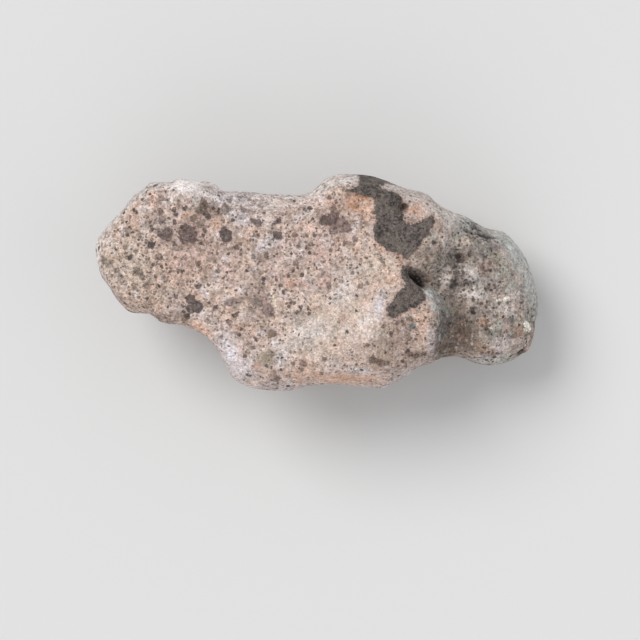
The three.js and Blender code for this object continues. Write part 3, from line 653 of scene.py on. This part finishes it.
# Each row: tint, centre on the plan, half-widths, turn in degrees, strength. The broad ones come first.
STAINS_AND_PAINTED_LIGHT = [
    ("cream", (-33, 3), (6, 7), 0, 0.5),
    ("pink", (-23.8, 4.0), (6, 3.6), 10, 0.7),
    ("grey", (29, -1), (12, 15), 0, 0.75),
    # painted rim light along the right edge
    ("painted_light_grey", (38.2, 0), (1.6, 9), 12, 0.75),
    ("olive", (13.2, -11.6), (3.4, 3.0), 20, 0.7),
    ("cream", (10.5, 3.5), (4, 3), 0, 0.5),
    ("cream", (2.5, -7.5), (9, 6), 20, 0.5),
    # the knob behind, left, and the hollow below it
    # the knob's white is partly bleached matrix and partly painted light falling on its top
    ("white", (-23.6, 17.3), (2.8, 1.6), 0, 1.1),
    ("grey", (-22.4, 16.3), (0.7, 0.5), 0, 0.9),
    ("grey", (-21.0, 15.6), (0.9, 0.4), 20, 0.8),
    ("grey", (-25.9, 16.6), (0.8, 0.4), 30, 0.7),
    ("umber", (-19.9, 17.2), (0.9, 0.4), -15, 0.7),
    ("white", (-26.6, 15.0), (1.2, 0.9), 0, 0.7),
    ("dusk", (-22.0, 9.2), (4.2, 2.8), 25, 0.9),
    ("white", (-19.4, 15.3), (2.6, 0.9), -8, 0.85),
    ("pale", (-22.0, 14.2), (2.0, 0.5), 45, 1.3),
    ("peach", (-23.6, 12.3), (1.3, 0.6), 25, 1.3),
    ("peach", (-18.3, 10.8), (1.3, 1.6), 20, 0.85),
    ("umber", (-19.9, 13.2), (2.3, 1.7), 0, 0.9),
    ("rust", (-11.8, 9.4), (1.6, 0.5), -8, 0.6),
    # the left end
    ("olive", (-37.4, 3.2), (1.4, 1.6), 0, 0.4),
    ("olive", (-32.2, 1.0), (1.8, 1.6), 0, 0.35),
    ("olive", (-26.0, -6.6), (1.8, 0.6), -8, 0.5),
    ("grey", (-26.8, -1.8), (2.4, 1.2), 0, 0.45),
    ("peach", (-21.4, -2.6), (1.2, 0.4), -15, 0.8),
    ("peach", (-21.0, -8.2), (2.8, 1.1), -33, 0.9),
    # painted rim light: the white rows along the left edge
    ("white", (-39.8, 5.0), (0.5, 3.0), 0, 0.8),
    ("white", (-38.0, -0.8), (0.5, 3.2), 26, 0.8),
    ("white", (-34.2, -6.0), (0.5, 3.0), 50, 0.7),
    # the scoop behind and the front notch, both bleached
    ("lilac", (-15.0, 14.8), (4.0, 1.4), -6, 0.85),
    ("lilac", (-13.6, 11.4), (1.8, 1.8), 0, 0.8),
    ("lilac", (-8.8, 6.9), (2.0, 1.1), 20, 0.75),
    ("lilac", (-16.2, -12.0), (2.0, 4.2), 20, 0.9),
    ("lilac", (-6.8, -14.0), (1.6, 1.6), 0, 0.8),
    ("olive", (-9.4, -13.7), (2.1, 1.3), 35, 1.2),
    ("rust", (-11.1, -15.2), (1.0, 0.7), 35, 0.9),
    ("rust", (-14.1, -8.5), (0.5, 0.7), 0, 0.7),
    ("lilac", (-13.6, -15.6), (2.6, 2.4), -40, 0.7),
    ("dusk", (-7.4, -16.8), (1.6, 1.1), 0, 0.6),
    # the middle of the face
    ("dusk", (-10.2, -3.0), (2.4, 3.6), 0, 0.9),
    ("cream", (-7.9, -3.0), (0.6, 1.6), 3, 1.4),
    ("pink", (-4.2, -0.4), (2.4, 1.4), 0, 0.75),
    ("rust", (2.1, 0.4), (0.6, 0.6), 0, 0.6),
    ("rust", (-5.0, 0.0), (0.9, 0.9), 0, 0.45),
    ("rust", (-0.6, -4.6), (1.0, 0.6), 0, 0.4),
    ("pink", (1.4, -0.2), (2.2, 1.6), 0, 0.75),
    ("pink", (-0.6, 6.2), (3.4, 2.4), 0, 0.5),
    ("slate", (-3.6, -6.0), (2.0, 1.3), 5, 0.45),
    ("pale", (4.4, -2.0), (2.6, 2.0), 20, 0.7),
    # partly pale matrix and partly painted light on the lit side of a low diagonal ridge
    ("pale", (-1.0, -8.8), (4.6, 1.9), 20, 0.85),
    ("olive", (3.4, -8.0), (2.6, 0.8), 62, 0.45),
    ("pink", (4.8, -6.4), (1.1, 0.9), 0, 0.65),
    # partly white matrix and partly painted light on the lit side of the second diagonal ridge
    ("white", (9.4, -6.4), (4.0, 1.6), 52, 0.5),
    ("lilac", (11.2, -3.8), (0.9, 1.8), -10, 0.85),
    # the front edge
    ("peach", (-2.6, -14.6), (2.8, 1.2), 0, 0.7),
    ("umber", (-2.6, -14.6), (1.0, 0.7), 0, 0.25),
    # painted rim light along the lowest front edge, in lilac, here and in the next row
    ("lilac", (1, -19.2), (17, 1.2), 0, 0.6),
    ("lilac", (15.6, -17.0), (4.6, 1.2), 28, 0.7),
    ("peach", (4.0, -17.2), (6.5, 1.1), -3, 0.95),
    ("rust", (6.4, -17.4), (4.2, 0.7), -6, 0.2),
    ("lilac", (7.6, -15.8), (2.4, 0.6), -8, 0.9),
    ("umber", (11.2, -14.2), (2.2, 0.9), -8, 0.55),
    ("umber", (17.6, -12.8), (2.2, 0.8), -8, 0.5),
    ("dusk", (15.4, -10.6), (3.2, 3.2), 0, 0.65),
    ("peach", (18.8, -7.4), (1.6, 3.2), 0, 0.6),
    # beside the crust
    ("dusk", (3.0, 11.4), (3.0, 2.6), -20, 0.75),
    ("rust", (6.8, 13.8), (2.0, 2.0), 0, 0.85),
    ("peach", (8.8, 12.8), (1.0, 2.4), 0, 0.85),
    ("rust", (8.4, 15.4), (1.8, 0.6), 0, 1.0),
    ("peach", (11.0, 6.8), (2.0, 0.8), -38, 0.75),
    ("peach", (13.0, 0.6), (2.0, 1.8), 0, 0.5),
    ("pink", (14.7, 4.3), (0.6, 1.5), 8, 0.6),
    ("rust", (14.7, 4.6), (0.5, 1.2), 8, 0.5),
    ("peach", (18.0, 13.4), (2.0, 1.5), -10, 0.55),
    ("rust", (16.7, 13.3), (1.2, 0.6), -10, 0.8),
    # painted shadow in the pit at the crust's edge
    ("umber", (15.7, 13.6), (0.8, 0.8), -12, 1.0),
    ("umber", (16.3, 3.4), (0.5, 0.6), 0, 0.8),
    # the slope behind the pit, and the lobe
    ("olive", (19.6, 4.0), (2.4, 2.2), 0, 0.5),
    ("peach", (22.0, 10.2), (0.9, 2.2), 5, 0.8),
    ("pale", (23.6, 12.0), (2.8, 1.8), -30, 0.9),
    ("pale", (22.8, 7.8), (1.0, 1.6), 10, 0.85),
    # painted shade in a small hollow
    ("umber", (25.4, 4.6), (1.8, 0.7), 8, 0.6),
    ("pale", (22.8, 0.8), (1.1, 1.6), 0, 0.85),
    # painted shade and shadow in the crevice between the lumps, here and in the next row
    ("slate", (24.7, 0.2), (0.8, 1.3), 0, 0.8),
    ("painted_shadow", (24.8, 0.0), (0.6, 0.9), 0, 0.35),
    ("painted_shadow", (30.2, -0.9), (0.9, 0.5), -30, 0.3),
    ("pale", (33.8, -5.2), (1.6, 1.2), 0, 0.7),
    # painted shade at the foot of the wall
    ("umber", (24.2, -3.0), (1.2, 2.2), 5, 0.5),
    ("white", (27.9, 1.4), (1.3, 1.2), 0, 0.6),
    ("pale", (28.2, -2.0), (2.2, 1.2), 0, 0.95),
    # painted shade over the flaked, cracked ground
    ("slate", (29.2, 9.4), (3.2, 1.6), -30, 0.4),
    # painted rim light along the upper right edge, here and in the next row
    ("painted_light_grey", (35.2, 6.4), (1.8, 4.4), 32, 0.7),
    ("painted_light_grey", (32.0, 8.2), (2.6, 1.3), -25, 0.5),
    ("umber", (27.4, 8.4), (1.0, 1.4), -20, 0.4),
    ("cream", (26.4, 7.5), (0.9, 0.8), 0, 1.1),
    # painted rim light
    ("painted_light_grey", (27.0, 10.6), (2.6, 1.4), -35, 0.55),
    # painted shade in a crack
    ("slate", (28.2, 10.2), (1.0, 0.6), -50, 0.6),
    ("painted_shadow", (30.4, 8.6), (1.6, 0.35), -14, 0.6),
    ("painted_shadow", (36.6, -12.6), (0.9, 0.5), 30, 0.7),
    ("pink", (29.6, 2.6), (1.5, 1.2), 0, 0.55),
    # partly olive matrix and partly painted shade in the valley beside the wall
    ("olive", (25.4, -4.8), (1.8, 1.4), -10, 0.5),
    ("slate", (31.9, 6.4), (1.3, 1.0), 0, 0.6),
    ("olive", (32.2, 4.4), (1.2, 1.6), 0, 0.5),
    ("pale", (34.6, -2.6), (2.0, 1.0), 0, 0.7),
    # partly brown matrix and partly painted shade in the low ground beside the wall
    ("umber", (25.9, -9.4), (2.8, 3.8), 0, 1.0),
    ("rust", (29.9, -7.2), (1.1, 0.9), 0, 0.6),
    ("rust", (29.6, -11.4), (1.1, 1.3), 0, 0.5),
    ("lilac", (33.4, -11.4), (2.2, 1.4), 0, 0.55),
    ("rust", (36.4, -8.6), (1.2, 1.2), 0, 0.5),
    # painted rim light along the lowest edge of the lobe
    ("painted_light_grey", (31.0, -14.2), (6.0, 1.0), 0, 0.6),
    # the wall and the pit at its end. The grey rows on the wall's top edge and face are painted light;
    # the slate row on its lower part and the umber and dark rows at its foot are painted shade;
    # the rust, umber and dark rows at the pit are its painted shadow.
    ("painted_light_grey", (20.5, -1.9), (2.0, 0.7), -33, 1.0),
    ("painted_light_grey", (21.7, -4.2), (2.2, 1.3), -65, 0.95),
    ("slate", (22.4, -8.2), (1.3, 3.4), 0, 1.2),
    ("lilac", (20.5, -10.2), (0.8, 2.4), 0, 0.85),
    ("umber", (22.8, -12.2), (2.0, 1.8), 0, 0.9),
    ("painted_shadow", (23.2, -12.4), (1.4, 1.3), 0, 0.4),
    ("rust", (20.2, 0.4), (1.0, 0.9), 0, 0.4),
    ("umber", (18.6, 1.5), (1.8, 0.8), -42, 0.6),
    ("painted_shadow", (18.1, 0.5), (1.4, 0.55), -42, 2.0),
]

# Patches that come and go at random. Each row: colour, size in mm, seed, and for the matrix a strength.
MATRIX_PATCHES = [
    ((214, 174, 146), 6.0, 51, 0.4), ((176, 164, 158), 8.0, 52, 0.15), ((226, 218, 214), 5.0, 53, 0.4),
    ((156, 137, 126), 4.0, 54, 0.4), ((218, 178, 156), 2.8, 56, 0.45), ((226, 217, 216), 2.0, 57, 0.6),
    ((220, 198, 178), 1.9, 58, 0.4), ((148, 130, 122), 1.5, 59, 0.5),
]
ROUGH_PATCHES = [((116, 103, 94), 2.4, 61), ((210, 192, 180), 2.0, 62), ((104, 92, 84), 1.3, 63)]
LOBE_PATCHES = [((182, 187, 173), 3.0, 70), ((210, 174, 156), 2.2, 71), ((122, 126, 116), 3.4, 72)]
WALL_PATCHES = [((92, 84, 81), 1.1, 65), ((208, 208, 206), 1.4, 66)]

# Each row: centre on the plan, half-widths, turn in degrees, change in how thickly dark grains lie.
PEPPERING = [
    ((-2, -7.5), (7, 2.4), 30, -0.5), ((9.5, -6), (5, 2.2), 50, -0.7), ((6, -10), (9, 7), 20, -0.6),
    ((11, 3), (4, 4), 0, -0.6), ((-15.8, -12.6), (2.4, 4), 20, -1.2), ((-23.5, 17.2), (3, 1.6), 0, -1.9),
    ((-28, 2), (9, 8), 0, 0.2), ((0, 12), (7, 4), 0, 0.3), ((-20, 13.4), (3, 1.6), 0, 0.5),
    ((18.6, 13.2), (2.6, 1.7), -20, -1.8), ((35.8, 4.6), (2, 5.4), 22, -0.8),
    ((23.8, 11.2), (2, 2.6), -20, -0.9), ((26.5, -9.5), (4.5, 3), 0, 0.6), ((8, -3), (9, 9), 0, -0.55),
    ((36, 0), (3.5, 9), 0, -1.1), ((-9.4, -13.7), (1.8, 1.3), 10, -1.6), ((4, -7.5), (8, 5), 25, -0.9),
    ((4, -17.2), (7.5, 1.2), -3, -1.4), ((-12, -17), (6, 2.4), -25, -1.1), ((-33, 6), (6, 7), 0, 0.25),
]

# How bright a perfect white shows under the studio light, where 1 is the brightest that sRGB holds.
FULL_LIGHT = 1.2


def reflectance(color):
    """Linear reflectance of what shows as that sRGB colour under full studio light: the standard curve from
    sRGB to linear, divided by how bright that light is."""
    share = np.array(color, float) / 255
    return np.where(share > 0.04045, ((share + 0.055) / 1.055) ** 2.4, share / 12.92) / FULL_LIGHT


def patches(size, seed, low, high):
    """0 where noise with features of that size in mm is below low, 1 where it is above high."""
    return smoothstep(low, high, bumps(size, seed))


def wash(tint, color, share):
    """The tint with a colour laid over it, by its share at each point."""
    return mix(tint, reflectance(color), share[:, None])


tint = np.tile(reflectance(MATRIX), (len(surface), 1))
for color, size, seed, strength in MATRIX_PATCHES:
    tint = wash(tint, color, patches(size, seed, 0.05, 0.7) * mix(0.38, strength, facing_up))
for color, size, seed in ROUGH_PATCHES:
    share = 0.6 * patches(size, seed, 0.12, 0.5) * np.clip(2 * rough, 0, 1)
    tint = wash(tint, color, np.maximum(share, 0.45 * on_lobe * patches(size, seed, 0.1, 0.5)))

# Stains and painted light and shade fade out below the rim along an uneven line, and the slopes along the
# back are painted paler, as painted light falling on them from the light high behind.
reach_of_marks = smoothstep(-0.95, 0.1, normals[:, 2] + 0.5 * bumps(4.5, 67))
for color, size, seed in LOBE_PATCHES:
    tint = wash(tint, color, 0.8 * on_lobe * reach_of_marks * patches(size, seed, 0.1, 0.5))
# Painted light: the slopes along the back are painted paler.
painted_back_light = 0.6 * smoothstep(0.95, 0.4, normals[:, 2]) * smoothstep(-6, 8, y) * reach_of_marks
tint = wash(tint, (214, 210, 207), painted_back_light)
blotch = 1 + 0.45 * bumps(1.6, 60) + 0.35 * bumps(0.7, 64)
for name, centre, across, turn, strength in STAINS_AND_PAINTED_LIGHT:
    share = strength * swell(plan_x, plan_y, centre, across, turn) * reach_of_marks * blotch
    tint = wash(tint, TINTS[name], np.clip(share, 0, 1))
for color, size, seed in WALL_PATCHES:
    tint = wash(tint, color, 0.6 * on_wall * patches(size, seed, 0.15, 0.55))
kinds = np.array([[*reflectance(color), cover] for color, cover, _ in CLAST_KINDS.values()])
clast_tint = kinds[clast_names[which_clast]]

# How thickly dark grains pepper the matrix: 1 is the usual share.
pepper = 1.6 + 0.6 * bumps(4, 55) + 0.35 * on_lobe * facing_up - 0.8 * painted_back_light + 0.6 * on_wall
for centre, across, turn, change in PEPPERING:
    pepper += change * swell(plan_x, plan_y, centre, across, turn) * reach_of_marks

surface = surface + normals * relief[:, None]
surface[:, 2] = np.maximum(surface[:, 2], 0)
mesh.vertices.foreach_set("co", (surface * MM).astype(np.float32).ravel())
mesh.update()


def store(name, kind, values):
    """Keeps a number, or a colour of four, per point on the mesh."""
    layer = mesh.attributes.new(name, kind, "POINT")
    layer.data.foreach_set("value" if kind == "FLOAT" else "color", values.astype(np.float32).ravel())


store("crust_edge", "FLOAT", crust_edge)
store("clast_edge", "FLOAT", clast_edge)
store("pepper", "FLOAT", pepper)
store("painted_hollow_shade", "FLOAT", painted_hollow_shade)
store("tint", "FLOAT_COLOR", np.concatenate([tint, np.ones((len(tint), 1))], axis=1))
store("clast_tint", "FLOAT_COLOR", clast_tint)


class Shade:
    """One output of a shader node. Arithmetic on it adds the Math nodes that work it out."""

    def __init__(self, tree, socket=None):
        self.tree, self.socket = tree, socket

    def node(self, kind, settings=None, inputs=None, output=0):
        """A new node in this tree: first its settings, then its sockets' values or links. Gives the output
        of that number or name."""
        made = self.tree.nodes.new(kind)
        for name, value in (settings or {}).items():
            setattr(made, name, value)
        for name, value in (inputs or {}).items():
            if isinstance(value, Shade):
                self.tree.links.new(value.socket, made.inputs[name])
            else:
                made.inputs[name].default_value = value
        return Shade(self.tree, made.outputs[output])

    def math(self, operation, first, second=0.0):
        return self.node("ShaderNodeMath", {"operation": operation}, {0: first, 1: second})

    def __add__(self, other):
        return self.math("ADD", self, other)

    def __sub__(self, other):
        return self.math("SUBTRACT", self, other)

    def __rsub__(self, other):
        return self.math("SUBTRACT", other, self)

    def __mul__(self, other):
        return self.math("MULTIPLY", self, other)

    __radd__, __rmul__ = __add__, __mul__

    def ramp(self, low, high):
        """Smoothly 0 to 1 as this goes from low to high, which may also be the other way round."""
        return self.node(
            "ShaderNodeMapRange", {"interpolation_type": "SMOOTHSTEP"},
            {"Value": self, "From Min": low, "From Max": high})

    def also(self, output):
        """Another output of the same node."""
        return Shade(self.tree, self.socket.node.outputs[output])

    def over(self, base, color):
        """The base colour where this is 0 and the colour where it is 1."""
        return self.node(
            "ShaderNodeMix", {"data_type": "RGBA"}, {"Factor": self, "A": base, "B": color}, output=2)

    def dims(self, color):
        """The colour times this number."""
        return self.node("ShaderNodeVectorMath", {"operation": "SCALE"}, {0: color, "Scale": self})

    def times(self, color):
        """This colour times another, channel by channel."""
        return self.node("ShaderNodeVectorMath", {"operation": "MULTIPLY"}, {0: self, 1: color})


material = bpy.data.materials.new("stony_matrix")
material.use_nodes = True
tree = material.node_tree
graph = Shade(tree)


def attribute(name, output):
    """What store kept under that name."""
    return graph.node("ShaderNodeAttribute", {"attribute_name": name}, output=output)


def opaque(color):
    """The reflectance of an sRGB colour, as a colour socket takes it."""
    return (*reflectance(color), 1)


def noise(coordinates, size, detail=2.0, output=0):
    """Blender's noise, mostly between 0.2 and 0.8, with features of that size in mm."""
    return graph.node(
        "ShaderNodeTexNoise", {}, {"Vector": coordinates, "Scale": 1 / size, "Detail": detail}, output)


position = graph.node("ShaderNodeTexCoord", output="Object")
position = graph.node("ShaderNodeVectorMath", {"operation": "SCALE"}, {0: position, "Scale": 1 / MM})
drift = graph.node(
    "ShaderNodeVectorMath", {"operation": "MULTIPLY_ADD"},
    {0: noise(position, 0.45, 3.0, "Color"), 1: (0.65, 0.65, 0.65), 2: position})


def grains(cell):
    """Splits space into a scatter of grains, one per cell of that size in mm. Gives the distance in mm from
    the middle of the grain, and three random numbers that are the same all through it."""
    distance = graph.node(
        "ShaderNodeTexVoronoi", {"feature": "F1"}, {"Vector": drift, "Scale": 1 / cell}, "Distance")
    chance = graph.node("ShaderNodeSeparateColor", {}, {"Color": distance.also("Color")}, "Red")
    return distance * cell, chance, chance.also("Green"), chance.also("Blue")


def speckles(cell, small, large, share):
    """0 outside round grains and from 0.3 to 1 inside: that share of the cells holds one, with a radius in
    mm between small and large."""
    distance, chance, size, strength = grains(cell)
    held = chance.math("LESS_THAN", chance, pepper_share * share)
    edge = size * (large - small) + small - distance
    return held * edge.ramp(-0.04, 0.06) * (strength * 0.7 + 0.3)


pepper_share = attribute("pepper", "Fac")
broad = noise(position, 4.0).ramp(0.3, 0.7)
coarse = noise(position, 1.4).ramp(0.3, 0.7)
fine = noise(position, 0.5, 3.0).ramp(0.37, 0.63)
finest = noise(position, 0.28, 2.0).ramp(0.37, 0.63)
_, sand, sand_hue, _ = grains(cell=0.42)
_, silt, silt_hue, _ = grains(cell=0.26)

color = attribute("tint", "Color")
tone = broad * 0.08 + coarse * 0.23 + fine * 0.14 + finest * 0.20 + sand * 0.36 + silt * 0.54 + 0.26
color = tone.dims(color)
warm_or_cool = (sand_hue * 0.5 + silt_hue * 0.5).over((0.955, 1.0, 1.045, 1), (1.045, 1.0, 0.955, 1))
color = color.times(warm_or_cool)

# Pale, rusty, grey and dark grains, pinholes, and murky patches between them.
pale_grains = speckles(cell=0.7, small=0.08, large=0.34, share=0.3)
color = (pale_grains * 0.6).over(color, opaque((236, 222, 212)))
rusty_grains = speckles(cell=1.6, small=0.15, large=0.55, share=0.3)
color = (rusty_grains * 0.25).over(color, opaque((178, 124, 96)))
murk = noise(drift, 1.0, 4.0).ramp(0.49, 0.66)
color = (murk * pepper_share * 0.34).over(color, opaque((134, 118, 103)))
grey_grains = speckles(cell=1.1, small=0.12, large=0.50, share=0.40)
color = (grey_grains * 0.6).over(color, opaque((122, 110, 98)))
dark_grains = speckles(cell=0.8, small=0.08, large=0.38, share=0.43)
color = (dark_grains * 0.95).over(color, opaque((80, 68, 58)))
pinholes = speckles(cell=0.5, small=0.06, large=0.24, share=0.46)
color = (pinholes * 0.9).over(color, opaque((90, 72, 64)))

# Clasts, with uneven edges, a darker margin and grains of their own.
clast_edge_shade = (
    attribute("clast_edge", "Fac") + (noise(position, 0.55, 3.0) - 0.5) * 0.5 + (sand - 0.5) * 0.30 + 0.03)
in_clast = clast_edge_shade.ramp(-0.12, 0.14)
dark_edge = clast_edge_shade.ramp(-0.1, 0.05) * clast_edge_shade.ramp(0.4, 0.1) * coarse
clast_tone = fine * 0.3 + finest * 0.3 + coarse * 0.3 + sand * 0.62 + silt * 0.68 - 0.09 - dark_edge * 0.25
clast_color = clast_tone.dims(attribute("clast_tint", "Color")).times(warm_or_cool)
color = (in_clast * attribute("clast_tint", "Alpha")).over(color, clast_color)
color = (in_clast * pale_grains * 0.4).over(color, opaque((186, 170, 160)))

# The crust, with a narrow rusty rim of heated matrix round it.
crust_shade = (
    attribute("crust_edge", "Fac")
    + (noise(position, 0.5, 3.0) - 0.5) * 1.2
    + (noise(position, 1.5) - 0.5) * 0.8
    + (sand - 0.5) * 0.30)
in_crust = crust_shade.ramp(-0.05, 0.07)
rim = crust_shade.ramp(-0.45, -0.05) * (1 - in_crust)
color = (rim * 0.35).over(color, opaque((160, 116, 98)))
crust_tone = fine * 0.25 + finest * 0.25 + sand * 0.40 + silt * 0.55 + coarse * 0.35 + broad * 0.3 - 0.56
color = in_crust.over(color, crust_tone.over(opaque((50, 45, 44)), opaque((130, 118, 110))))
# Painted shade: the colour is darkened in the hollows of the finer relief.
color = (1.0 - attribute("painted_hollow_shade", "Fac") * 0.7).dims(color)

grit = noise(position, 0.4, 3.0) * 0.6 + noise(position, 0.16, 2.0) * 0.3
grit = grit - dark_grains * 0.3 - pinholes * 0.3
normal = graph.node(
    "ShaderNodeBump", {}, {"Strength": 0.8, "Distance": 0.16 * MM, "Height": grit}, "Normal")

shader = tree.nodes["Principled BSDF"]
shader.inputs["Specular IOR Level"].default_value = 0.3
tree.links.new(color.socket, shader.inputs["Base Color"])
tree.links.new((0.94 - in_crust * 0.18 - fine * 0.06).socket, shader.inputs["Roughness"])
tree.links.new(normal.socket, shader.inputs["Normal"])
mesh.materials.append(material)

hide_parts("meteorite_stone")
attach(meteorite, "root")


# ---- Floor, light and camera ----
# A plain matte pale tabletop under soft studio light: one big soft light high on the left and behind, two
# weak ones low on the right and in front, and a pale room. The camera looks straight down on the broad face.

table = bpy.data.materials.new("pale_table")
table.use_nodes = True
looks = table.node_tree.nodes["Principled BSDF"].inputs
looks["Base Color"].default_value = (0.66, 0.655, 0.645, 1)
looks["Roughness"].default_value = 0.9
looks["Specular IOR Level"].default_value = 0.2
half = 3.0
corners = [(-half, -half, 0), (half, -half, 0), (half, half, 0), (-half, half, 0)]
floor_mesh = bpy.data.meshes.new("floor")
floor_mesh.from_pydata(corners, [], [(0, 1, 2, 3)])
floor_mesh.materials.append(table)
floor = add_object("floor", floor_mesh)

world = bpy.data.worlds.new("pale_room")
world.use_nodes = True
looks = world.node_tree.nodes["Background"].inputs
looks["Color"].default_value = (0.95, 0.97, 1.0, 1)
looks["Strength"].default_value = 0.60
scene.world = world

# Each row: name, where it stands as seen from the stone, strength, and width in radians.
LIGHTS = [
    ("soft_key", (-0.42, 0.36, 0.62), 1.95, 0.6),
    ("right_fill", (0.62, -0.12, 0.36), 0.30, 1.0),
    ("front_fill", (-0.10, -0.62, 0.36), 0.45, 1.0),
]
for name, toward, strength, spread in LIGHTS:
    lamp = bpy.data.lights.new(name, "SUN")
    lamp.energy = strength
    lamp.angle = spread
    light = add_object(name, lamp)
    light.rotation_euler = Vector(toward).to_track_quat("Z", "Y").to_euler()

middle = (cad_low + cad_high) / 2
above_middle = Vector((0.0004, -0.0067, 0.646))
camera = add_object("camera", bpy.data.cameras.new("camera"))
camera.data.lens = 200
camera.data.sensor_width = 36
camera.data.clip_start = 0.05
camera.location = middle + above_middle
scene.camera = camera
scene.view_settings.view_transform = "Standard"
